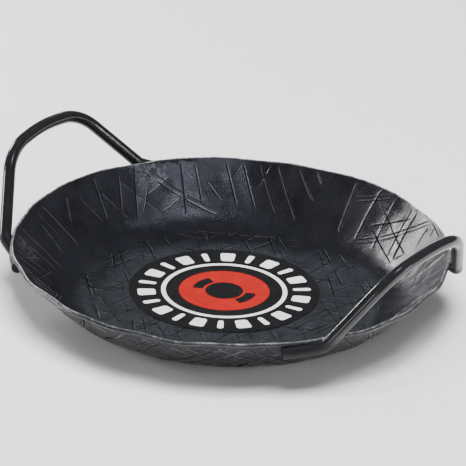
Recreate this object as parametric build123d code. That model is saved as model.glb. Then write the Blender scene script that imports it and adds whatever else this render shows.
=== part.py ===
"""Forged iron serving pan: a shallow round pan with sloping walls, two bow handles of round bar and a paper label.

Frame: millimetres, +Z up, origin at the centre of the underside, +X through the right handle.
The pan stands on its flat base. Each handle is one bent bar whose two feet lie along the outside of the wall,
just under the rim, where a weld bead under each foot holds it. Nothing on the pan moves.
"""

from build123d import *
import math
import os

# Pan body
RIM_RADIUS = 140.0  # outer edge of the rim
PAN_HEIGHT = 36.0  # underside to the top of the rim
SHEET = 2.5  # forged thickness
WALL_ANGLE = 43.0  # slope of the wall above the horizontal, degrees
CORNER_RADIUS = 36.0  # outside radius between base and wall
RIM_ROUNDING = 0.7  # eased edges of the rim

# Handles, measured on the half at +Y of the right handle
ROD_RADIUS = 4.0
FOOT_END_ANGLE = 41.3  # azimuth of a foot's free end from the handle's middle, degrees
KNEE_ANGLE = 34.6  # azimuth where the foot starts to climb to the rim
RIM_ANGLE = 30.3  # azimuth where the bar passes the rim and turns into the leg
RIM_DROP = -2.2  # from the rim's outer edge down the wall to the bar there: it is past the edge
FOOT_CLEARANCE = 0.02  # between the bar and the wall
KNEE_RUN = 3.6  # from the foot's arc to the knee
CORNER_REACH = 148.4  # x of the corner between a leg and the bow
CORNER_HALF_WIDTH = 36.5
CORNER_HEIGHT = 74.8
BOW_REACH = 150.2  # x of the bow's middle
BOW_HEIGHT = 79.2
KNEE_RADIUS = 6.0
FOOT_BEND_RADIUS = 8.0
LEG_BEND_RADIUS = 38.0
BOW_RADIUS = 120.0
ROD_END_CHAMFER = 0.6
LEFT_HANDLE_TURN = 179.7  # the handles are set by eye, so they are not quite opposite

# The drop of each foot: from the rim's outer edge down the wall to the line where the bar touches it,
# at the free end and at the knee. The feet are bent by hand, and one lies lower than the others.
FOOT_DROPS = {
    "right_front": (3.4, 1.4),
    "right_back": (3.4, 1.4),
    "left_front": (9.6, 8.0),
    "left_back": (3.4, 1.4),
}

# Weld beads
BEAD_RADIUS = 2.3
BEAD_BELOW_FOOT = 3.1  # from the foot's line of contact down the wall to the bead's centre
BEAD_OFF_WALL = 1.1  # from the wall out to the bead's centre
BEAD_START_ANGLE = 40.0
BEAD_END_ANGLE = 34.8

# Label
LABEL_RADIUS = 61.0
LABEL_THICKNESS = 0.25
LABEL_CENTRE = (-7.0, 4.5)  # stuck by hand, a little off the middle of the floor

# Values that follow from these
wall = math.radians(WALL_ANGLE)
along_wall = (math.cos(wall), math.sin(wall))  # outward and up the wall, as (radius, height)
off_wall = (math.sin(wall), -math.cos(wall))  # away from the pan, square to the wall
rim_outer_z = PAN_HEIGHT - SHEET * math.cos(wall)
arc_rise = CORNER_RADIUS * (1 - math.cos(wall))
wall_run = (rim_outer_z - arc_rise) / math.tan(wall)
base_radius = RIM_RADIUS - wall_run - CORNER_RADIUS * math.sin(wall)


def beside_wall(angle, drop, off):
    """A point at an azimuth in degrees, so far down the wall from the rim's outer edge, and so far off it."""
    radius = RIM_RADIUS - drop * along_wall[0] + off * off_wall[0]
    turn = math.radians(angle)
    return Vector(
        radius * math.cos(turn),
        radius * math.sin(turn),
        rim_outer_z - drop * along_wall[1] + off * off_wall[1],
    )


def foot_arc(drops, start, end, below, off):
    """An arc that follows a foot from one azimuth to another, so far below its line of contact."""
    end_drop, knee_drop = drops

    def point(angle):
        along_foot = (FOOT_END_ANGLE - angle) / (FOOT_END_ANGLE - KNEE_ANGLE)
        return beside_wall(angle, end_drop + (knee_drop - end_drop) * along_foot + below, off)

    return ThreePointArc(point(start), point((start + end) / 2), point(end))


def make_pan_body():
    """Revolves the wall's section: flat base, rounded corner and straight sloping wall, one sheet thick."""
    inner_corner = CORNER_RADIUS - SHEET
    outer_tangent = (base_radius + CORNER_RADIUS * math.sin(wall), arc_rise)
    inner_tangent = (
        base_radius + inner_corner * math.sin(wall),
        CORNER_RADIUS - inner_corner * math.cos(wall),
    )
    rim_outer = (RIM_RADIUS, rim_outer_z)
    rim_inner = (RIM_RADIUS - SHEET * off_wall[0], PAN_HEIGHT)
    half_turn = wall / 2

    def arc_middle(radius):
        return (
            base_radius + radius * math.sin(half_turn),
            CORNER_RADIUS - radius * math.cos(half_turn),
        )

    with BuildPart() as pan:
        with BuildSketch(Plane.XZ):
            with BuildLine():
                Line((0, 0), (base_radius, 0))
                ThreePointArc((base_radius, 0), arc_middle(CORNER_RADIUS), outer_tangent)
                Line(outer_tangent, rim_outer)
                Line(rim_outer, rim_inner)
                Line(rim_inner, inner_tangent)
                ThreePointArc(inner_tangent, arc_middle(inner_corner), (base_radius, SHEET))
                Line((base_radius, SHEET), (0, SHEET))
                Line((0, SHEET), (0, 0))
            make_face()
        revolve(axis=Axis.Z)
        rim_edges = pan.edges().group_by(Axis.Z)[-1] + pan.edges().filter_by(
            lambda e: abs(e.center(CenterOf.BOUNDING_BOX).Z - rim_outer_z) < 0.01
        )
        fillet(rim_edges, RIM_ROUNDING)
    return pan.part


def make_handle(back_drops, front_drops):
    """One bar at +X, bent through two feet, two legs and the bow between them."""
    bar_off = ROD_RADIUS + FOOT_CLEARANCE
    feet = []
    halves = []
    for drops in (back_drops, front_drops):
        foot = foot_arc(drops, FOOT_END_ANGLE, KNEE_ANGLE, 0, bar_off)
        feet.append(foot)
        halves.append([
            foot @ 1,
            foot @ 1 + (foot % 1) * KNEE_RUN,
            beside_wall(RIM_ANGLE, RIM_DROP, bar_off),
            Vector(CORNER_REACH, CORNER_HALF_WIDTH, CORNER_HEIGHT),
        ])
    front_half = [Vector(point.X, -point.Y, point.Z) for point in reversed(halves[1])]
    bends = [KNEE_RADIUS, FOOT_BEND_RADIUS, LEG_BEND_RADIUS]
    legs_and_bow = FilletPolyline(
        *halves[0],
        Vector(BOW_REACH, 0, BOW_HEIGHT),
        *front_half,
        radius=[*bends, BOW_RADIUS, *reversed(bends)],
    )
    path = feet[0] + legs_and_bow + mirror(feet[1], about=Plane.XZ)
    section = Plane(origin=feet[0] @ 0, z_dir=feet[0] % 0) * Circle(ROD_RADIUS)
    rod = sweep(section, path=path)
    ends = rod.faces().filter_by(GeomType.PLANE)
    return chamfer([edge for face in ends for edge in face.edges()], ROD_END_CHAMFER)


def make_weld(drops, handle, pan_body):
    """The bead under a foot at +Y of the right handle, cut to the bar and the wall that it joins."""
    path = foot_arc(drops, BEAD_START_ANGLE, BEAD_END_ANGLE, BEAD_BELOW_FOOT, BEAD_OFF_WALL)
    bead = sweep(Plane(origin=path @ 0, z_dir=path % 0) * Circle(BEAD_RADIUS), path=path)
    for end in (path @ 0, path @ 1):
        bead += Pos(end) * Sphere(BEAD_RADIUS)
    return bead - handle - pan_body


def make_label():
    """A thin round label lying on the floor."""
    return Pos(*LABEL_CENTRE, SHEET) * Cylinder(
        LABEL_RADIUS, LABEL_THICKNESS, align=(Align.CENTER, Align.CENTER, Align.MIN)
    )


pan_body = make_pan_body()
parts = {"pan_body": pan_body, "paper_label": make_label()}
# A half turn takes the foot at +Y of the right handle's place to the front of the left handle.
for side, turn, plus_y, minus_y in (
    ("right", 0, "back", "front"),
    ("left", LEFT_HANDLE_TURN, "front", "back"),
):
    placed = Rot(0, 0, turn)
    plus_drops = FOOT_DROPS[f"{side}_{plus_y}"]
    minus_drops = FOOT_DROPS[f"{side}_{minus_y}"]
    handle = make_handle(plus_drops, minus_drops)
    mirrored = mirror(handle, about=Plane.XZ)
    parts[f"handle_{side}"] = placed * handle
    parts[f"weld_{side}_{plus_y}"] = placed * make_weld(plus_drops, handle, pan_body)
    parts[f"weld_{side}_{minus_y}"] = placed * mirror(
        make_weld(minus_drops, mirrored, pan_body), about=Plane.XZ
    )

os.makedirs("parts", exist_ok=True)
for name, shape in parts.items():
    export_step(shape, f"parts/{name}.step")
print("flat base radius", round(base_radius, 2))
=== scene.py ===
import math

import bpy
import numpy as np
from mathutils import Matrix, Vector
from mathutils.geometry import delaunay_2d_cdt


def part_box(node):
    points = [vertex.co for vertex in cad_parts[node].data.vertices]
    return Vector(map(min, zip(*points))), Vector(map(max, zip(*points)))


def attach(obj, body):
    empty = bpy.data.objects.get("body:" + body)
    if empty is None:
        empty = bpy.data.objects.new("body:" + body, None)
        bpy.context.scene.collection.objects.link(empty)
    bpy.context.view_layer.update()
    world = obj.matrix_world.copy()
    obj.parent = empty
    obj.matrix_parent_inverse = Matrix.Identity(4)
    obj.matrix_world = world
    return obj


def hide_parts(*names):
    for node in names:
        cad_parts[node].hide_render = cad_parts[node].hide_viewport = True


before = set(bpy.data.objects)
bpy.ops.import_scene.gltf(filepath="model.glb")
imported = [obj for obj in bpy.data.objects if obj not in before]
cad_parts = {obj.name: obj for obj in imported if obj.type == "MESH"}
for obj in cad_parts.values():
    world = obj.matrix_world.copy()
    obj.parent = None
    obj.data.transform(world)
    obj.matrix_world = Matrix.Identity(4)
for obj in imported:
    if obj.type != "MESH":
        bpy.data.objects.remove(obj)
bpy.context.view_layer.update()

# ---------------------------------------------------------------- sizes of the sheet, from the CAD frame
pan_low, pan_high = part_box("pan_body")
label_low, label_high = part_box("paper_label")
SHEET = label_low.z  # the label lies on the floor, one sheet above the underside
RIM_ROUNDING = 0.00029  # the rounded rim edges stop this far inside the section's corners
RIM_RADIUS = pan_high.x + RIM_ROUNDING
PAN_HEIGHT = pan_high.z + RIM_ROUNDING
WALL = math.radians(43.0)
CORNER_RADIUS = 0.036
ALONG = np.array([math.cos(WALL), math.sin(WALL)])  # outward and up the wall, as (radius, height)
OFF = np.array([math.sin(WALL), -math.cos(WALL)])  # away from the pan, square to the wall
RIM_OUTER_Z = PAN_HEIGHT - SHEET * math.cos(WALL)
WALL_RUN = (RIM_OUTER_Z - CORNER_RADIUS * (1 - math.cos(WALL))) / math.tan(WALL)
FLOOR_RADIUS = RIM_RADIUS - WALL_RUN - CORNER_RADIUS * math.sin(WALL)
WALL_LENGTH = WALL_RUN / math.cos(WALL)

LABEL_MIDDLE = (label_low + label_high) / 2
LABEL_RADIUS = (label_high.x - label_low.x) / 2
WELDS = ("weld_right_front", "weld_right_back", "weld_left_front", "weld_left_back")

rng = np.random.default_rng(31)


# ---------------------------------------------------------------- the sheet's two sides, unrolled
class Side:
    """One side of the sheet, laid out flat: a point's distance from the middle is its run up the section."""

    def __init__(self, inner):
        self.inner = inner
        self.corner = CORNER_RADIUS - (SHEET if inner else 0.0)
        self.floor_z = SHEET if inner else 0.0
        self.wall_start = FLOOR_RADIUS + self.corner * WALL
        self.rim = self.wall_start + WALL_LENGTH
        self.sign = 1.0 if inner else -1.0  # the way that the open side faces from the metal

    def section(self, run):
        """(radius, height) of the section, and the normal there on the open side, as (radius, height)."""
        turn = np.clip((run - FLOOR_RADIUS) / self.corner, 0.0, WALL)
        flat = np.minimum(run, FLOOR_RADIUS)
        up_wall = np.maximum(run - self.wall_start, 0.0)
        radius = flat + self.corner * np.sin(turn) + up_wall * math.cos(WALL)
        height = self.floor_z + self.corner * (1 - np.cos(turn)) + up_wall * math.sin(WALL)
        return radius, height, -np.sin(turn) * self.sign, np.cos(turn) * self.sign

    def place(self, flat, rise):
        """Unrolled points, each raised off the sheet by its rise, as points of the pan."""
        run = np.hypot(flat[:, 0], flat[:, 1])
        angle = np.arctan2(flat[:, 1], flat[:, 0])
        radius, height, normal_r, normal_z = self.section(run)
        return hand_work(radius + normal_r * rise, height + normal_z * rise, angle)

    def at(self, azimuth, up):
        """The unrolled point at an azimuth in degrees; up is 0 at the wall's foot and 1 at the rim."""
        run = self.wall_start + up * WALL_LENGTH
        turn = math.radians(azimuth)
        return np.array([run * math.cos(turn), run * math.sin(turn)])


def smooth(x):
    """0 below 0, 1 above 1 and a smooth step between."""
    x = np.clip(x, 0.0, 1.0)
    return x * x * (3 - 2 * x)


def waves(count, longest, shortest):
    """Random plane waves: directions times wave numbers, and phases."""
    angle = rng.uniform(0, math.tau, count)
    number = math.tau / rng.uniform(shortest, longest, count)
    return np.stack([np.cos(angle) * number, np.sin(angle) * number], 1), rng.uniform(0, math.tau, count)


def swell(flat, field):
    """A gentle random surface with a standard deviation of about 1."""
    numbers, phases = field
    return np.cos(flat @ numbers.T + phases).sum(1) * math.sqrt(2 / len(phases))


RIM_WAVES = [(count, rng.uniform(0, math.tau), rng.uniform(0, math.tau)) for count in (2, 3, 5, 8, 13, 21)]
RIM_LIFT = 0.00030
RIM_PUSH = 0.00032
TRUE_HEIGHT = 0.006  # the unevenness starts at this height
FEET = [math.radians(a) for a in (36, -36, 144, -144)]  # the wall is true where a handle's foot lies on it
FOOT_REACH = math.radians(9)


def hand_work(radius, height, angle):
    """The pan's slow unevenness, the same for both sides of the sheet: it grows from the floor to the rim."""
    lift = sum(np.cos(count * angle + phase) for count, phase, _ in RIM_WAVES)
    push = sum(np.cos(count * angle + phase) for count, _, phase in RIM_WAVES)
    free = np.ones_like(angle)
    for foot in FEET:
        away = np.abs((angle - foot + math.pi) % math.tau - math.pi)
        free = free * smooth((away - FOOT_REACH * 0.6) / FOOT_REACH)
    grows = smooth((height - TRUE_HEIGHT) / (PAN_HEIGHT - TRUE_HEIGHT))
    radius = radius + RIM_PUSH * push * grows * (0.25 + 0.75 * free)
    height = height + RIM_LIFT * lift * grows * (0.4 + 0.6 * free)
    return np.stack([radius * np.cos(angle), radius * np.sin(angle), height], 1)


# ---------------------------------------------------------------- creases
class Creases:
    """Straight forging creases on one unrolled side: a V groove each, and a fold of the sheet along it."""

    TAPER = 0.0032  # a groove runs out over this length at each end
    LIP_WIDTH = 2.1  # the metal pushed up on one side of a groove, in half widths from its middle
    LIP_RISE = 0.55  # and its height, as a share of the groove's depth
    FOLD_REACH = 0.008  # how far a fold is felt on each side
    FOLD_END = 0.004  # and past each end of its crease

    def __init__(self):
        self.rows = []

    def add(self, start, end, half_width, depth, fold):
        self.rows.append([*start, *end, half_width, depth, fold])

    def pair(self, start, end, half_width, depth, fold, gap):
        """Two creases side by side."""
        side = np.array([start[1] - end[1], end[0] - start[0]])
        side = side / np.linalg.norm(side) * gap / 2
        self.add(start + side, end + side, half_width, depth, fold)
        self.add(start - side, end - side, half_width, depth, fold)

    def close(self):
        rows = np.array(self.rows)
        self.start, self.end = rows[:, 0:2], rows[:, 2:4]
        self.half_width, self.depth, self.fold = rows[:, 4], rows[:, 5], rows[:, 6]
        self.lip_side = rng.choice([-1, 1], len(rows))
        self.length = np.linalg.norm(self.end - self.start, axis=1)
        self.along = (self.end - self.start) / self.length[:, None]
        self.side = np.stack([-self.along[:, 1], self.along[:, 0]], 1)

    def measure(self, flat):
        """For each point and crease: the distances along it and off it, and the groove's share there."""
        s = flat @ self.along.T - (self.start * self.along).sum(1)
        t = flat @ self.side.T - (self.start * self.side).sum(1)
        share = np.clip(np.minimum(s, self.length - s) / self.TAPER, 0.0, 1.0)
        return s, t, share

    def grooves(self, flat):
        """The rise at each point: below zero down in the deepest groove there, and above it on a lip."""
        _, t, share = self.measure(flat)
        away = np.abs(t) / np.maximum(self.half_width * share, 1e-9)
        top = np.where(t * self.lip_side > 0, self.LIP_RISE, 0.0)
        inside = (1 + top) * away - 1
        beside = top * np.clip((self.LIP_WIDTH - away) / (self.LIP_WIDTH - 1), 0.0, 1.0)
        rise = self.depth * share * np.where(away < 1, inside, beside)
        lowest = rise.min(1)
        return np.where(lowest < 0, lowest, rise.max(1))

    def clearance(self, flat, widths=1.0):
        """How far each point is outside the nearest groove, or so many half widths of it: negative inside."""
        s, t, share = self.measure(flat)
        beyond = np.maximum(np.maximum(-s, s - self.length), 0.0)
        return (np.hypot(beyond, np.abs(t)) - widths * self.half_width * share).min(1)

    def folds(self, flat):
        """The sheet bends a little along each crease, so that the panels between them tilt."""
        s, t, _ = self.measure(flat)
        reach = smooth((s + self.FOLD_END) / 0.010) * smooth((self.length - s + self.FOLD_END) / 0.010)
        return (self.fold * reach * np.abs(t) * np.exp(-((t / self.FOLD_REACH) ** 2))).sum(1)


def in_pieces(function, flat, step=4000):
    """The function's values, worked out a few thousand points at a time."""
    return np.concatenate([function(flat[i:i + step]) for i in range(0, len(flat), step)])


def random_fold(scale):
    return rng.choice([-1, 1]) * rng.uniform(0.3, 1.0) * scale


FLOOR_DIRECTIONS = (21, 81, 140)  # the blows cross the floor in three directions, in degrees
FLOOR_SPACING = 0.0088


def floor_creases(creases, reach, bare_middle, bare_radius):
    """A broken net of three sets of creases over the floor, outside a circle that is left clear."""
    for direction in FLOOR_DIRECTIONS:
        offset = -reach + rng.uniform(0.003, FLOOR_SPACING)
        while offset < reach:
            turn = math.radians(direction + rng.normal(0, 4))
            along = np.array([math.cos(turn), math.sin(turn)])
            side = np.array([-along[1], along[0]])
            half = math.sqrt(reach**2 - offset**2)
            s = -half - rng.uniform(0, 0.01)
            while s < half:
                length = rng.uniform(0.012, 0.036)
                start = side * offset + along * max(s, -half)
                end = side * (offset + rng.normal(0, 0.0008)) + along * min(s + length, half)
                s += length + rng.uniform(0.001, 0.011)
                long_enough = np.linalg.norm(end - start) > 0.008
                if long_enough and np.linalg.norm((start + end) / 2 - bare_middle) > bare_radius:
                    half_width = rng.uniform(0.00042, 0.00066)
                    depth = half_width * rng.uniform(0.17, 0.28)
                    creases.add(start, end, half_width, depth, random_fold(0.038))
            offset += FLOOR_SPACING * rng.uniform(0.6, 1.4)


# The inner wall's creases in the best-lit half. Each has the azimuth in degrees and the share of the wall
# (0 at its foot, 1 at the rim) at both ends. Most rows weren't chosen by hand: a separate program made them
# from places read off the photograph.
STEEP = [
    ((88.4, 0.97), (85.6, -0.10)), ((80.2, 0.98), (78.2, -0.10)), ((74.2, 0.93), (68.8, -0.12)),
    ((67.1, 0.98), (60.3, -0.04)), ((64.1, 0.97), (56.6, 0.00)), ((55.6, 0.89), (52.4, 0.44)),
    ((53.4, 0.96), (51.1, 0.75)), ((45.0, 0.97), (43.0, 0.02)), ((101.0, 0.95), (98.0, 0.70)),
    ((106.2, 0.96), (99.0, 0.36)), ((112.2, 0.97), (101.9, -0.11)), ((117.2, 0.97), (109.6, -0.03)),
    ((122.0, 0.94), (117.0, 0.02)), ((126.8, 0.97), (122.9, 0.02)), ((135.3, 0.94), (134.3, 0.08)),
    ((139.1, 0.96), (140.1, -0.10)), ((152.3, 0.97), (157.8, -0.05)), ((157.7, 0.86), (162.4, 0.14)),
    ((166.0, 0.95), (168.5, 0.10)), ((177.8, 0.80), (182.5, 0.35)), ((188.4, 0.94), (186.4, -0.09)),
    ((194.5, 0.70), (195.6, 0.00)), ((203.5, 0.96), (203.0, -0.15)),
]
SLANTING = [
    ((79.2, 0.78), (53.9, 0.24)), ((75.3, 0.26), (55.6, -0.06)), ((56.2, 0.98), (48.0, 0.92)),
    ((76.6, 0.26), (64.0, 0.81)), ((57.0, 0.02), (54.5, 0.24)), ((114.2, 0.98), (117.4, 0.42)),
    ((157.7, 0.72), (147.3, -0.04)), ((165.7, 0.62), (158.9, -0.09)), ((140.0, 0.28), (149.0, -0.02)),
    ((142.5, 0.70), (152.8, 0.33)), ((122.2, 0.92), (125.0, 0.60)), ((173.5, 0.72), (170.0, 0.10)),
    ((133.0, 0.60), (127.5, 0.10)), ((150.0, 0.55), (154.5, 0.05)), ((192.0, 0.90), (191.0, 0.25)),
]
PAIRS = [
    ((78.3, -0.14), (69.8, 0.14)), ((69.8, 0.14), (56.2, 0.98)), ((86.5, 0.60), (74.9, 0.96)),
    ((150.5, 0.94), (139.5, 0.26)), ((139.5, 0.26), (128.5, -0.11)),
]


HEAVY_END = 92.0  # the blows between the right handle and this azimuth were heavier, and so were paired ones
HEAVY = 1.4
# Each kind of crease: its narrowest and widest half width, and the most that the sheet folds along it.
STEEP_SIZES = 0.00045, 0.00064, 0.046
SLANTING_SIZES = 0.00036, 0.00050, 0.045
PAIR_SIZES = 0.00040, 0.00050, 0.030
PAIR_GAP = 0.0030


def inner_creases(side):
    """The wall: creases from the rim to its foot, and slanting ones across them. The floor: a fine net."""
    creases = Creases()

    def place(ends, narrow, wide, fold, gap=0.0):
        half_width = rng.uniform(narrow, wide) * (HEAVY if gap or ends[0][0] < HEAVY_END else 1.0)
        depth = half_width * rng.uniform(0.50, 0.66)
        start, end = side.at(*ends[0]), side.at(*ends[1])
        if gap:
            creases.pair(start, end, half_width, depth, random_fold(fold), gap)
        else:
            creases.add(start, end, half_width, depth, random_fold(fold))

    for ends in STEEP:
        place(ends, *STEEP_SIZES)
    for ends in SLANTING:
        place(ends, *SLANTING_SIZES)
    for ends in PAIRS:
        place(ends, *PAIR_SIZES, PAIR_GAP)
    azimuth = 209.0
    while azimuth < 400.0:
        low = rng.uniform(-0.12, 0.10)
        place(((azimuth, 0.97), (azimuth + rng.uniform(-7, 7), low)), *STEEP_SIZES)
        azimuth += rng.uniform(3.5, 8.5)
    azimuth = 206.0
    while azimuth < 400.0:
        spread = rng.choice([-1, 1]) * rng.uniform(9, 22)
        ends = (azimuth, rng.uniform(-0.1, 0.25)), (azimuth + spread, rng.uniform(0.6, 0.97))
        place(ends, *SLANTING_SIZES, PAIR_GAP if rng.random() < 0.2 else 0.0)
        azimuth += rng.uniform(2, 6) if azimuth > 340.0 else rng.uniform(4, 10)
    floor_creases(creases, FLOOR_RADIUS + 0.008, (LABEL_MIDDLE.x, LABEL_MIDDLE.y), LABEL_RADIUS - 0.004)
    creases.close()
    return creases


def outer_creases(side):
    """The wall: two slanting sets that make diamonds. The underside: a fine net."""
    creases = Creases()
    for lean in (-1, 1):
        azimuth = rng.uniform(0, 5)
        while azimuth < 360.0:
            spread = lean * rng.uniform(14, 22)
            low, high = rng.uniform(-0.35, -0.05), rng.uniform(0.8, 0.98)
            half_width = rng.uniform(0.0006, 0.0009)
            creases.add(
                side.at(azimuth, low), side.at(azimuth + spread * (high - low), high),
                half_width, half_width * 0.5, random_fold(0.06),
            )
            azimuth += rng.uniform(4.0, 8.0)
    floor_creases(creases, FLOOR_RADIUS + 0.006, (0, 0), 0.0)
    creases.close()
    return creases


# ---------------------------------------------------------------- the forged mesh
RING = 720  # points round the rim
SPACING = 0.0023  # between the points of the open sheet
ALONG_CREASE = 0.0030  # between the points of a groove's lines
CREASE_GAP = 0.0007  # from a groove's lip to the nearest point of the open sheet
RIM_BAND = 0.0005  # the narrow band beside the rim's edge where the rim's light colour fades in: wear of the scale and painted highlight
GROUND_GAP = 0.00002  # the underside stays this far above the plane that the pan stands on
FULLY_WORKED = 0.00012  # a groove this deep, or a lip this high, has the full look of one


def crease_lines(creases):
    """The centre, the edges and the lip's foot of every groove, as points and the edges between them."""
    points = []
    edges = []
    for i, length in enumerate(creases.length):
        steps = max(4, math.ceil(length / ALONG_CREASE))
        s = np.linspace(0, length, steps + 1)
        share = np.clip(np.minimum(s, length - s) / creases.TAPER, 0.0, 1.0)
        first = len(points)
        centre = creases.start[i] + s[:, None] * creases.along[i]
        points.extend(centre)
        edges.extend((first + k, first + k + 1) for k in range(steps))
        for way in (-1, 1, creases.LIP_WIDTH * creases.lip_side[i]):
            line = centre + (way * creases.half_width[i] * share)[:, None] * creases.side[i]
            begin = len(points)
            points.extend(line[1:-1])
            chain = [first, *range(begin, begin + steps - 1), first + steps]
            edges.extend(zip(chain, chain[1:]))
    return points, edges


def open_points(side, creases):
    """Evenly spread points between the creases, a little jittered."""
    row_height = SPACING * math.sqrt(3) / 2
    rows = int(side.rim / row_height) + 1
    points = []
    for row in range(-rows, rows + 1):
        shift = SPACING / 2 * (row % 2)
        columns = np.arange(-rows, rows + 1) * SPACING + shift
        points.append(np.stack([columns, np.full_like(columns, row * row_height)], 1))
    points = np.concatenate(points)
    points = points + rng.uniform(-0.2, 0.2, points.shape) * SPACING
    run = np.hypot(points[:, 0], points[:, 1])
    points = points[run < side.rim - 3 * RIM_BAND]
    return points[in_pieces(lambda p: creases.clearance(p, creases.LIP_WIDTH), points) > CREASE_GAP]


def side_mesh(side, creases, swells):
    """One side of the sheet: vertices, triangles, loop normals, the rim's ring and each point's work."""
    turn = np.arange(RING) * math.tau / RING
    ring = np.stack([np.cos(turn), np.sin(turn)], 1) * side.rim
    lines, line_edges = crease_lines(creases)
    inside = open_points(side, creases)
    inner_ring = ring * (1 - RIM_BAND / side.rim)
    flat = np.concatenate([ring, inner_ring, np.array(lines), inside])
    edges = [(i + start, (i + 1) % RING + start) for start in (0, RING) for i in range(RING)]
    edges += [(a + 2 * RING, b + 2 * RING) for a, b in line_edges]
    made = delaunay_2d_cdt([Vector(p) for p in flat], edges, [], 0, 1e-7)
    flat = np.array([tuple(p) for p in made[0]])
    triangles = np.array(made[2])
    ring_at = np.zeros(RING, int)
    for at, sources in enumerate(made[3]):
        for source in sources:
            if source < RING:
                ring_at[source] = at  # the outermost ring comes first

    label_at = np.array([LABEL_MIDDLE.x, LABEL_MIDDLE.y])

    def keep_clear(points, rise):
        """Nothing comes through the label on the inner floor, and nothing hangs below the flat underside."""
        if not side.inner:
            height = side.section(np.hypot(points[:, 0], points[:, 1]))[1]
            return np.minimum(rise, height - GROUND_GAP)
        covered = np.linalg.norm(points - label_at, axis=1) < LABEL_RADIUS + 0.003
        return np.where(covered, np.minimum(rise, (label_high.z - label_low.z) / 2), rise)

    def open_rise(points):
        """The sheet without its grooves."""
        run = np.hypot(points[:, 0], points[:, 1])
        on_wall = smooth((run - FLOOR_RADIUS) / 0.02)
        rise = swell(points, swells[0]) * (0.00003 + 0.00016 * on_wall)
        rise = rise + swell(points, swells[1]) * (0.00002 + 0.00002 * on_wall)
        rise = rise + creases.folds(points)
        if not side.inner:
            rise = rise - (1 - smooth((run - FLOOR_RADIUS) / 0.012)) * 0.00025
        return rise * smooth((side.rim - run) / 0.002 + 0.35)

    def place_open(points):
        return side.place(points, open_rise(points))

    worked = in_pieces(creases.grooves, flat)
    vertices = side.place(flat, keep_clear(flat, in_pieces(open_rise, flat) + worked))
    # Normals of the open sheet, so that it stays smooth up to the edge of each groove.
    near = 0.00003
    here = in_pieces(place_open, flat)
    across = in_pieces(place_open, flat + [near, 0]) - here
    up = in_pieces(place_open, flat + [0, near]) - here
    normals = np.cross(across, up) * side.sign
    normals /= np.linalg.norm(normals, axis=1)[:, None]
    if not side.inner:
        triangles = triangles[:, ::-1]
    corners = vertices[triangles]
    faces = np.cross(corners[:, 1] - corners[:, 0], corners[:, 2] - corners[:, 0])
    faces /= np.maximum(np.linalg.norm(faces, axis=1)[:, None], 1e-30)
    middles = flat[triangles].mean(1)
    loops = normals[triangles]
    # The grooves come out sharper than the lips.
    for widths, flatness in ((creases.LIP_WIDTH, 0.4), (1.0, 0.6)):
        worked_here = in_pieces(lambda p: creases.clearance(p, widths), middles) < 0
        loops[worked_here] = (1 - flatness) * loops[worked_here] + flatness * faces[worked_here][:, None, :]
    loops /= np.linalg.norm(loops, axis=2)[:, :, None]
    return vertices, triangles, loops, ring_at, np.clip(worked / FULLY_WORKED, -1.0, 1.0)


RIM_STEPS = 6  # faces over the rounded rim
RIM_OUT = 0.00055  # how far the rim's edge stands out past the two rings
RIM_NICK = 0.00005


def rim_rows():
    """Rows of points over the rounded rim, from the inner ring to the outer one."""
    angle = np.arange(RING) * math.tau / RING
    middle = np.array([RIM_RADIUS, RIM_OUTER_Z]) - OFF * SHEET / 2
    nicks = sum(np.cos(count * angle + rng.uniform(0, math.tau)) for count in (31, 47, 67, 88, 120))
    rows = []
    for step in range(1, RIM_STEPS):
        turn = math.pi * step / RIM_STEPS
        across = -math.copysign(abs(math.cos(turn)) ** 0.6, math.cos(turn)) * SHEET / 2
        out = math.sin(turn) ** 0.6 * (RIM_OUT + RIM_NICK * nicks)
        radius = middle[0] + OFF[0] * across + ALONG[0] * out
        height = middle[1] + OFF[1] * across + ALONG[1] * out
        rows.append(hand_work(radius, height, angle))
    return rows


HEAT_TURN = math.radians(6)  # the heat spread from each bead towards the middle of its handle
HEAT_REACH = 0.015
HEAT_FADE = 0.011


def weld_heat(vertices):
    """How near each point of the wall is to a weld: its heat burnt the scale on both sides of the sheet."""
    heat = np.zeros(len(vertices))
    for name in WELDS:
        low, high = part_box(name)
        middle = (low + high) / 2
        turn = -math.copysign(HEAT_TURN, middle.x * middle.y)
        away = np.linalg.norm(vertices - np.array(Matrix.Rotation(turn, 3, "Z") @ middle), axis=1)
        heat = np.maximum(heat, smooth((HEAT_REACH - away) / HEAT_FADE))
    return heat


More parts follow.
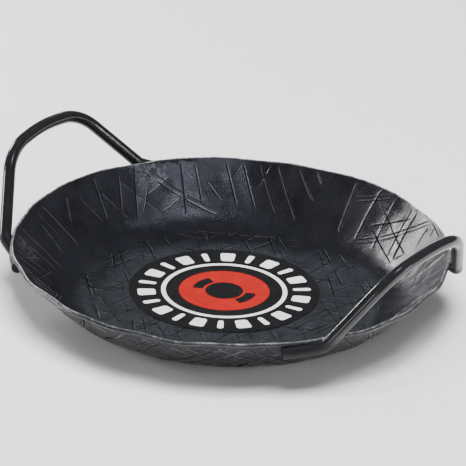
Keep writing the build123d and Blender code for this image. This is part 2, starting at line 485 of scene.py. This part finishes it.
def make_pan():
    inner, outer = Side(True), Side(False)
    swells = [waves(26, 0.075, 0.028), waves(30, 0.020, 0.009)]
    in_v, in_t, in_n, in_ring, in_work = side_mesh(inner, inner_creases(inner), swells)
    out_v, out_t, out_n, out_ring, out_work = side_mesh(outer, outer_creases(outer), swells)
    rows = rim_rows()
    vertices = np.concatenate([in_v, out_v, *rows])
    worked = np.concatenate([in_work, out_work, np.zeros(len(rows) * RING)])
    # The rim's light colour, part wear of the scale and part painted highlight: full on the inner edge and
    # the top, where light catches it, faint on the outer edge.
    edge = np.zeros(len(vertices))
    edge[in_ring] = 1.0
    edge[out_ring + len(in_v)] = 0.3
    for row, share in enumerate((1.0, 0.7, 0.15)):
        first = len(in_v) + len(out_v) + row * RING
        edge[first:first + RING] = share
    rings = [in_ring]
    for i in range(len(rows)):
        rings.append(np.arange(RING) + len(in_v) + len(out_v) + i * RING)
    rings.append(out_ring + len(in_v))
    strip = []
    for a, b in zip(rings, rings[1:]):
        a2, b2 = np.roll(a, -1), np.roll(b, -1)
        strip.append(np.stack([a, b, b2], 1))
        strip.append(np.stack([a, b2, a2], 1))
    strip = np.concatenate(strip)
    triangles = np.concatenate([in_t, out_t + len(in_v), strip])
    mesh = bpy.data.meshes.new("forged_pan")
    mesh.vertices.add(len(vertices))
    mesh.vertices.foreach_set("co", vertices.astype(np.float32).ravel())
    mesh.loops.add(len(triangles) * 3)
    mesh.loops.foreach_set("vertex_index", triangles.astype(np.int32).ravel())
    mesh.polygons.add(len(triangles))
    mesh.polygons.foreach_set("loop_start", (np.arange(len(triangles)) * 3).astype(np.int32))
    mesh.update(calc_edges=True)
    mesh.shade_smooth()
    loops = np.concatenate([in_n, out_n, np.zeros((len(strip), 3, 3))])
    mesh.normals_split_custom_set(loops.reshape(-1, 3).tolist())
    mesh.validate()
    for name, values in (("worked", worked), ("rim_edge", edge), ("weld_heat", weld_heat(vertices))):
        layer = mesh.attributes.new(name, "FLOAT", "POINT")
        layer.data.foreach_set("value", values.astype(np.float32))
    print("forged pan:", len(vertices), "vertices,", len(triangles), "triangles")
    pan = bpy.data.objects.new("forged_pan", mesh)
    bpy.context.scene.collection.objects.link(pan)
    return pan


# ---------------------------------------------------------------- materials
class Nodes:
    """Short calls for building one material's nodes."""

    def __init__(self, name):
        self.material = bpy.data.materials.new(name)
        self.material.use_nodes = True
        self.tree = self.material.node_tree
        self.tree.nodes.clear()
        self.output = self.add("ShaderNodeOutputMaterial")
        self.shader = self.add("ShaderNodeBsdfPrincipled")
        self.link(self.shader, "BSDF", self.output, "Surface")
        self.coordinates = self.add("ShaderNodeTexCoord")

    def add(self, kind, **settings):
        node = self.tree.nodes.new(kind)
        for key, value in settings.items():
            setattr(node, key, value)
        return node

    def link(self, source, output, target, socket):
        self.tree.links.new(source.outputs[output], target.inputs[socket])

    def noise(self, scale, detail=4.0, rough=0.55, distortion=0.0):
        node = self.add("ShaderNodeTexNoise")
        node.inputs["Scale"].default_value = scale
        node.inputs["Detail"].default_value = detail
        node.inputs["Roughness"].default_value = rough
        node.inputs["Distortion"].default_value = distortion
        self.link(self.coordinates, "Object", node, "Vector")
        return node.outputs["Fac"]

    def height(self):
        node = self.add("ShaderNodeSeparateXYZ")
        self.link(self.coordinates, "Object", node, "Vector")
        return node.outputs["Z"]

    def attribute(self, name):
        return self.add("ShaderNodeAttribute", attribute_name=name).outputs["Fac"]

    def spread(self, value, low, high, to_low=0.0, to_high=1.0):
        node = self.add("ShaderNodeMapRange")
        numbers = {"From Min": low, "From Max": high, "To Min": to_low, "To Max": to_high}
        for socket, number in numbers.items():
            node.inputs[socket].default_value = number
        self.tree.links.new(value, node.inputs["Value"])
        return node.outputs["Result"]

    def math(self, operation, a, b=None):
        node = self.add("ShaderNodeMath", operation=operation)
        for i, value in enumerate((a, b)):
            if value is None:
                continue
            if isinstance(value, (int, float)):
                node.inputs[i].default_value = value
            else:
                self.tree.links.new(value, node.inputs[i])
        return node.outputs["Value"]

    def mix(self, share, a, b):
        node = self.add("ShaderNodeMix", data_type="RGBA")
        self.tree.links.new(share, node.inputs["Factor"])
        for socket, colour in ((6, a), (7, b)):
            if isinstance(colour, tuple):
                node.inputs[socket].default_value = (*colour, 1.0)
            else:
                self.tree.links.new(colour, node.inputs[socket])
        return node.outputs[2]

    def set(self, socket, value):
        if isinstance(value, (int, float, tuple)):
            self.shader.inputs[socket].default_value = value
        else:
            self.tree.links.new(value, self.shader.inputs[socket])

    def bump(self, height, distance, strength=1.0, after=None):
        node = self.add("ShaderNodeBump")
        node.inputs["Distance"].default_value = distance
        node.inputs["Strength"].default_value = strength
        self.tree.links.new(height, node.inputs["Height"])
        if after is not None:
            self.tree.links.new(after, node.inputs["Normal"])
        self.tree.links.new(node.outputs["Normal"], self.shader.inputs["Normal"])
        return node.outputs["Normal"]


def iron_material():
    """Blue-black forging scale, uneven in tone and gloss: dull and darkened by painted shade in the creases,
    lighter on the lips and the rim from wear and painted highlight.
    """
    n = Nodes("forging_scale")
    cloud = n.noise(38, 5, 0.6)
    patches = n.spread(n.noise(90, 4, 0.6, 0.6), 0.42, 0.62)
    grain = n.noise(1500, 3, 0.6)
    worked = n.attribute("worked")
    groove = n.spread(worked, 0.0, -1.0)
    lip = n.spread(worked, 0.20, 0.65)
    chips = n.spread(n.noise(210, 4, 0.7), 0.48, 0.60)
    # Painted highlight, partly real wear: the rim turns light grey and half metallic, strongest along its
    # inner edge, broken into chips.
    rim_wear_and_highlight = n.math("MULTIPLY", n.attribute("rim_edge"), n.spread(chips, 0.0, 1.0, 0.22, 1.0))
    burnt = n.math("MULTIPLY", n.attribute("weld_heat"), n.spread(n.noise(420, 4, 0.75), 0.50, 0.60))
    colour = n.mix(n.spread(cloud, 0.35, 0.7), (0.0040, 0.0043, 0.0062), (0.0075, 0.0078, 0.0110))
    colour = n.mix(n.math("MULTIPLY", patches, 0.35), colour, (0.012, 0.012, 0.015))
    # Lips beside the grooves: light, metallic and glossier, partly wear of the scale and partly painted
    # highlight that draws a bright line beside each crease.
    lip_wear_and_highlight = n.math("MULTIPLY", lip, n.spread(n.noise(140, 3, 0.6), 0.35, 0.65, 0.20, 0.80))
    # Painted shade: the creases' colour goes near black and their gloss is cut, so each groove reads as a
    # dark line.
    colour = n.mix(groove, colour, (0.0015, 0.0015, 0.0020))
    colour = n.mix(lip_wear_and_highlight, colour, (0.16, 0.16, 0.18))
    colour = n.mix(n.math("MULTIPLY", burnt, 0.38), colour, (0.16, 0.16, 0.17))
    n.set("Base Color", n.mix(rim_wear_and_highlight, colour, (0.42, 0.42, 0.43)))
    n.set("Metallic", n.math("MAXIMUM", n.math("MULTIPLY", rim_wear_and_highlight, 0.5), n.math("MULTIPLY", lip_wear_and_highlight, 0.78)))
    n.set("IOR", 1.7)
    shine = n.spread(lip_wear_and_highlight, 0.0, 1.0, 0.5, 1.0)
    n.set("Specular IOR Level", n.math("MULTIPLY", shine, n.spread(groove, 0.0, 1.0, 1.0, 0.0)))
    rough = n.spread(cloud, 0.3, 0.7, 0.23, 0.36)
    rough = n.math("ADD", rough, n.math("MULTIPLY", groove, 0.25))
    rough = n.math("SUBTRACT", rough, n.math("MULTIPLY", lip, 0.05))
    n.set("Roughness", n.math("ADD", rough, n.spread(grain, 0.3, 0.7, -0.05, 0.06)))
    first = n.bump(n.noise(260, 5, 0.6), 0.00025, 0.40)
    n.bump(n.noise(1000, 4, 0.65), 0.00016, 0.75, first)
    return n.material


def bar_material():
    """Black-finished bar: glossy, a little uneven, and dull on the feet, where the welds' heat reached it."""
    n = Nodes("black_bar")
    cloud = n.noise(45, 4, 0.55)
    foot = n.spread(n.height(), 0.039, 0.034)
    n.set("Base Color", n.mix(n.spread(cloud, 0.35, 0.7), (0.0075, 0.0075, 0.0085), (0.0125, 0.0125, 0.0140)))
    n.set("Metallic", 0.0)
    n.set("IOR", 1.55)
    n.set("Specular IOR Level", n.spread(foot, 0.0, 1.0, 0.5, 0.20))
    rough = n.spread(n.noise(160, 4, 0.6), 0.3, 0.7, 0.13, 0.22)
    n.set("Roughness", n.math("ADD", rough, n.math("MULTIPLY", foot, 0.25)))
    first = n.bump(n.noise(70, 2, 0.5), 0.0005, 0.16)
    n.bump(n.noise(900, 3, 0.6), 0.00005, 0.35, first)
    return n.material


def weld_material():
    """A bead left dark and scaly by its own heat."""
    n = Nodes("weld_scale")
    cloud = n.noise(420, 4, 0.6)
    n.set("Base Color", n.mix(n.spread(cloud, 0.4, 0.65), (0.012, 0.012, 0.013), (0.055, 0.050, 0.046)))
    n.set("Metallic", 0.35)
    n.set("Roughness", n.spread(cloud, 0.3, 0.7, 0.35, 0.6))
    n.bump(n.noise(1300, 4, 0.65), 0.00012, 0.6)
    return n.material


def print_material(name, low, high, rough):
    """Printed coated paper in one ink, slightly uneven."""
    n = Nodes(name)
    cloud = n.noise(120, 5, 0.6)
    n.set("Base Color", n.mix(n.spread(cloud, 0.35, 0.65), low, high))
    n.set("Roughness", n.spread(n.noise(600, 3, 0.6), 0.3, 0.7, rough - 0.05, rough + 0.07))
    n.set("Specular IOR Level", 0.25)
    n.bump(n.noise(2200, 3, 0.6), 0.00003, 0.35)
    return n.material


def dress(thing, material):
    thing.data.materials.clear()
    thing.data.materials.append(material)


# ---------------------------------------------------------------- label
RING_INNER, RING_OUTER = 0.0374, 0.0403
BORDER_INNER, BORDER_OUTER = 0.0440, 0.0555
BORDER_BLOCKS = 22
BLOCK_HALF_ANGLES = 2.2, 5.2  # narrow and wide blocks take turns, in degrees
DISC_RADIUS = 0.0290
SIGN_RADIUS = 0.0120  # the pan in the sign, with a handle on each side
HANDLE_INNER, HANDLE_OUTER, HANDLE_HALF_ANGLE = 0.0138, 0.0205, 26
INK = 0.00004


def outline_piece(name, outlines, low, high):
    """A closed flat piece from outlines round the label's centre, each a list of (x, y)."""
    vertices = []
    faces = []
    for outline in outlines:
        count = len(outline)
        base = len(vertices)
        for z in (low, high):
            vertices.extend((LABEL_MIDDLE.x + x, LABEL_MIDDLE.y + y, z) for x, y in outline)
        faces.append(tuple(range(base + count - 1, base - 1, -1)))
        faces.append(tuple(range(base + count, base + 2 * count)))
        for i in range(count):
            j = (i + 1) % count
            faces.append((base + i, base + j, base + count + j, base + count + i))
    return mesh_piece(name, vertices, faces)


def mesh_piece(name, vertices, faces):
    mesh = bpy.data.meshes.new(name)
    mesh.from_pydata(vertices, [], faces)
    mesh.validate()
    thing = bpy.data.objects.new(name, mesh)
    bpy.context.scene.collection.objects.link(thing)
    return thing


def circle(radius, count):
    angles = [math.tau * i / count for i in range(count)]
    return [(radius * math.cos(angle), radius * math.sin(angle)) for angle in angles]


def band(inner, outer, start, end, count, corner=0.0):
    """Part of a ring between two angles in degrees, its corners cut by a small chamfer."""
    a, b = math.radians(start), math.radians(end)
    points = []
    for radius, cut, turns in ((outer, -corner, (a, b)), (inner, corner, (b, a))):
        trim = corner / radius
        first, last = turns
        way = 1 if last > first else -1
        points.append((radius + cut, first))
        for i in range(count + 1):
            angle = first + way * trim + (last - first - 2 * way * trim) * i / count
            points.append((radius, angle))
        points.append((radius + cut, last))
    return [(r * math.cos(t), r * math.sin(t)) for r, t in points]


def ring_piece(name, inner, outer, low, high, count=192):
    """A closed flat ring."""
    vertices = []
    for z in (low, high):
        for radius in (inner, outer):
            vertices.extend((LABEL_MIDDLE.x + x, LABEL_MIDDLE.y + y, z) for x, y in circle(radius, count))
    faces = []
    inner_low, outer_low, inner_high, outer_high = (k * count for k in range(4))
    for i in range(count):
        j = (i + 1) % count
        faces.append((inner_high + i, outer_high + i, outer_high + j, inner_high + j))
        faces.append((inner_low + j, outer_low + j, outer_low + i, inner_low + i))
        faces.append((outer_low + i, outer_low + j, outer_high + j, outer_high + i))
        faces.append((inner_low + j, inner_low + i, inner_high + i, inner_high + j))
    return mesh_piece(name, vertices, faces)


def make_label():
    """A plain label: a black disc, a white ring, a border of white blocks, a red disc and a pan sign."""
    top = label_high.z
    white = print_material("label_white", (0.78, 0.78, 0.77), (0.86, 0.86, 0.85), 0.42)
    red = print_material("label_red", (0.33, 0.0085, 0.0060), (0.40, 0.0110, 0.0075), 0.42)
    black = print_material("label_black", (0.0042, 0.0040, 0.0042), (0.0070, 0.0066, 0.0068), 0.42)
    sheet = outline_piece("label_sheet", [circle(LABEL_RADIUS, 256)], label_low.z, top)
    dress(sheet, black)
    ring = ring_piece("label_ring", RING_INNER, RING_OUTER, top, top + INK)
    dress(ring, white)
    blocks = []
    for i in range(BORDER_BLOCKS):
        middle = 360.0 * (i + 0.5) / BORDER_BLOCKS
        half = BLOCK_HALF_ANGLES[i % 2]
        blocks.append(band(BORDER_INNER, BORDER_OUTER, middle - half, middle + half, 8, 0.0012))
    border = outline_piece("label_border", blocks, top, top + INK)
    dress(border, white)
    disc = outline_piece("label_disc", [circle(DISC_RADIUS, 96)], top, top + INK)
    dress(disc, red)
    handles = [
        band(HANDLE_INNER, HANDLE_OUTER, middle - HANDLE_HALF_ANGLE, middle + HANDLE_HALF_ANGLE, 8, 0.0006)
        for middle in (0, 180)
    ]
    sign = outline_piece("label_sign", [circle(SIGN_RADIUS, 64), *handles], top + INK, top + 2 * INK)
    dress(sign, black)
    return [sheet, ring, border, disc, sign]


# ---------------------------------------------------------------- welds
RIPPLE_LENGTH = 0.0017
RIPPLE_RISE = 0.00028
LUMP_RISE = 0.00010


def make_weld(name):
    """The CAD bead with the ripples of a hand weld."""
    weld = bpy.data.objects.new("bead_" + name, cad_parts[name].data.copy())
    bpy.context.scene.collection.objects.link(weld)
    remesh = weld.modifiers.new("remesh", "REMESH")
    remesh.mode = "VOXEL"
    remesh.voxel_size = 0.00028
    bpy.context.view_layer.update()
    solid = bpy.data.meshes.new_from_object(weld.evaluated_get(bpy.context.evaluated_depsgraph_get()))
    weld.modifiers.clear()
    weld.data = solid
    solid.shade_smooth()
    solid.update()
    co = np.array([tuple(v.co) for v in solid.vertices])
    normal = np.array([tuple(v.normal) for v in solid.vertices])
    middle = co.mean(0)
    tangent = np.linalg.svd(co - middle, full_matrices=False)[2][0]
    along = (co - middle) @ tangent
    ripple = np.abs(np.sin(along * math.pi / RIPPLE_LENGTH)) - 0.64  # less its mean
    lumps = swell(co[:, :2], waves(12, 0.006, 0.003))
    co = co + normal * (ripple * RIPPLE_RISE + lumps * LUMP_RISE)[:, None]
    solid.vertices.foreach_set("co", co.astype(np.float32).ravel())
    solid.update()
    return weld


# ---------------------------------------------------------------- stage, light and camera
RIM_CENTRE = Vector((0, 0, PAN_HEIGHT))
VIEW = Vector((0.5125, -0.7450, 0.4270)).normalized()  # from the pan to the camera
CAMERA_DISTANCE = 7.0
LENS = 850.0
ROLL = math.radians(1.94)
AIM = (0.0015, 0.0101)  # the camera's aim, right of and above the rim's centre


def camera_axes():
    right = Vector((0, 0, 1)).cross(VIEW).normalized()
    up = VIEW.cross(right)
    return (
        right * math.cos(ROLL) + up * math.sin(ROLL),
        up * math.cos(ROLL) - right * math.sin(ROLL),
    )


def make_camera():
    right, up = camera_axes()
    data = bpy.data.cameras.new("camera")
    data.lens = LENS
    data.sensor_width = 36.0
    data.clip_end = 50.0
    camera = bpy.data.objects.new("camera", data)
    place = RIM_CENTRE + right * AIM[0] + up * AIM[1] + VIEW * CAMERA_DISTANCE
    camera.matrix_world = Matrix((
        (right.x, up.x, VIEW.x, place.x),
        (right.y, up.y, VIEW.y, place.y),
        (right.z, up.z, VIEW.z, place.z),
        (0, 0, 0, 1),
    ))
    bpy.context.scene.collection.objects.link(camera)
    bpy.context.scene.camera = camera


def softbox(name, direction, distance, width, height, watts, colour=(1, 1, 1)):
    """A rectangular lamp that looks at the pan."""
    data = bpy.data.lights.new(name, "AREA")
    data.shape = "RECTANGLE"
    data.size = width
    data.size_y = height
    data.energy = watts
    data.color = colour
    lamp = bpy.data.objects.new(name, data)
    away = Vector(direction).normalized()
    lamp.location = RIM_CENTRE + away * distance
    lamp.rotation_euler = away.to_track_quat("Z", "Y").to_euler()
    bpy.context.scene.collection.objects.link(lamp)
    return lamp


def make_stage():
    half = 6.0
    floor = mesh_piece(
        "floor", [(-half, -half, 0), (half, -half, 0), (half, half, 0), (-half, half, 0)], [(0, 1, 2, 3)]
    )
    n = Nodes("pale_floor")
    n.set("Base Color", (0.9, 0.9, 0.9, 1.0))
    n.set("Roughness", 0.9)
    dress(floor, n.material)
    world = bpy.data.worlds.new("studio")
    world.use_nodes = True
    world.node_tree.nodes["Background"].inputs["Color"].default_value = (1, 1, 1, 1)
    world.node_tree.nodes["Background"].inputs["Strength"].default_value = 0.10
    bpy.context.scene.world = world
    softbox("left_box", (-0.905, 0.215, 0.365), 0.9, 0.13, 0.20, 2.8)
    softbox("left_low", (-0.925, -0.340, 0.200), 1.1, 0.20, 0.30, 4.0)
    softbox("top_box", (0.26, 0.09, 0.96), 1.1, 0.15, 0.18, 1.4, (0.76, 0.79, 1.0))
    softbox("back_box", (-0.51, 0.745, 0.427), 1.2, 0.16, 0.11, 0.15, (0.8, 0.9, 1.0))
    softbox("right_low", (0.95, 0.20, 0.080), 1.1, 0.24, 0.14, 3.05)
    softbox("right_high", (0.87, 0.39, 0.180), 1.1, 0.24, 0.14, 1.8)
    softbox("front_box", (0.30, -0.90, 0.35), 2.0, 1.2, 0.6, 7)
    fill = softbox("fill", (0.15, -0.10, 1.0), 2.5, 1.6, 1.6, 150)
    fill.visible_glossy = False  # it lights the floor and the label, and the iron doesn't mirror it


# ---------------------------------------------------------------- put together
pan = make_pan()
dress(pan, iron_material())
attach(pan, "root")
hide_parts("pan_body")

bar = bar_material()
for name in ("handle_right", "handle_left"):
    dress(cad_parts[name], bar)

weld_finish = weld_material()
for name in WELDS:
    bead = make_weld(name)
    dress(bead, weld_finish)
    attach(bead, "root")
    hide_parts(name)

for piece in make_label():
    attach(piece, "root")
    if piece.name == "label_sheet":
        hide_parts("paper_label")

make_camera()
make_stage()
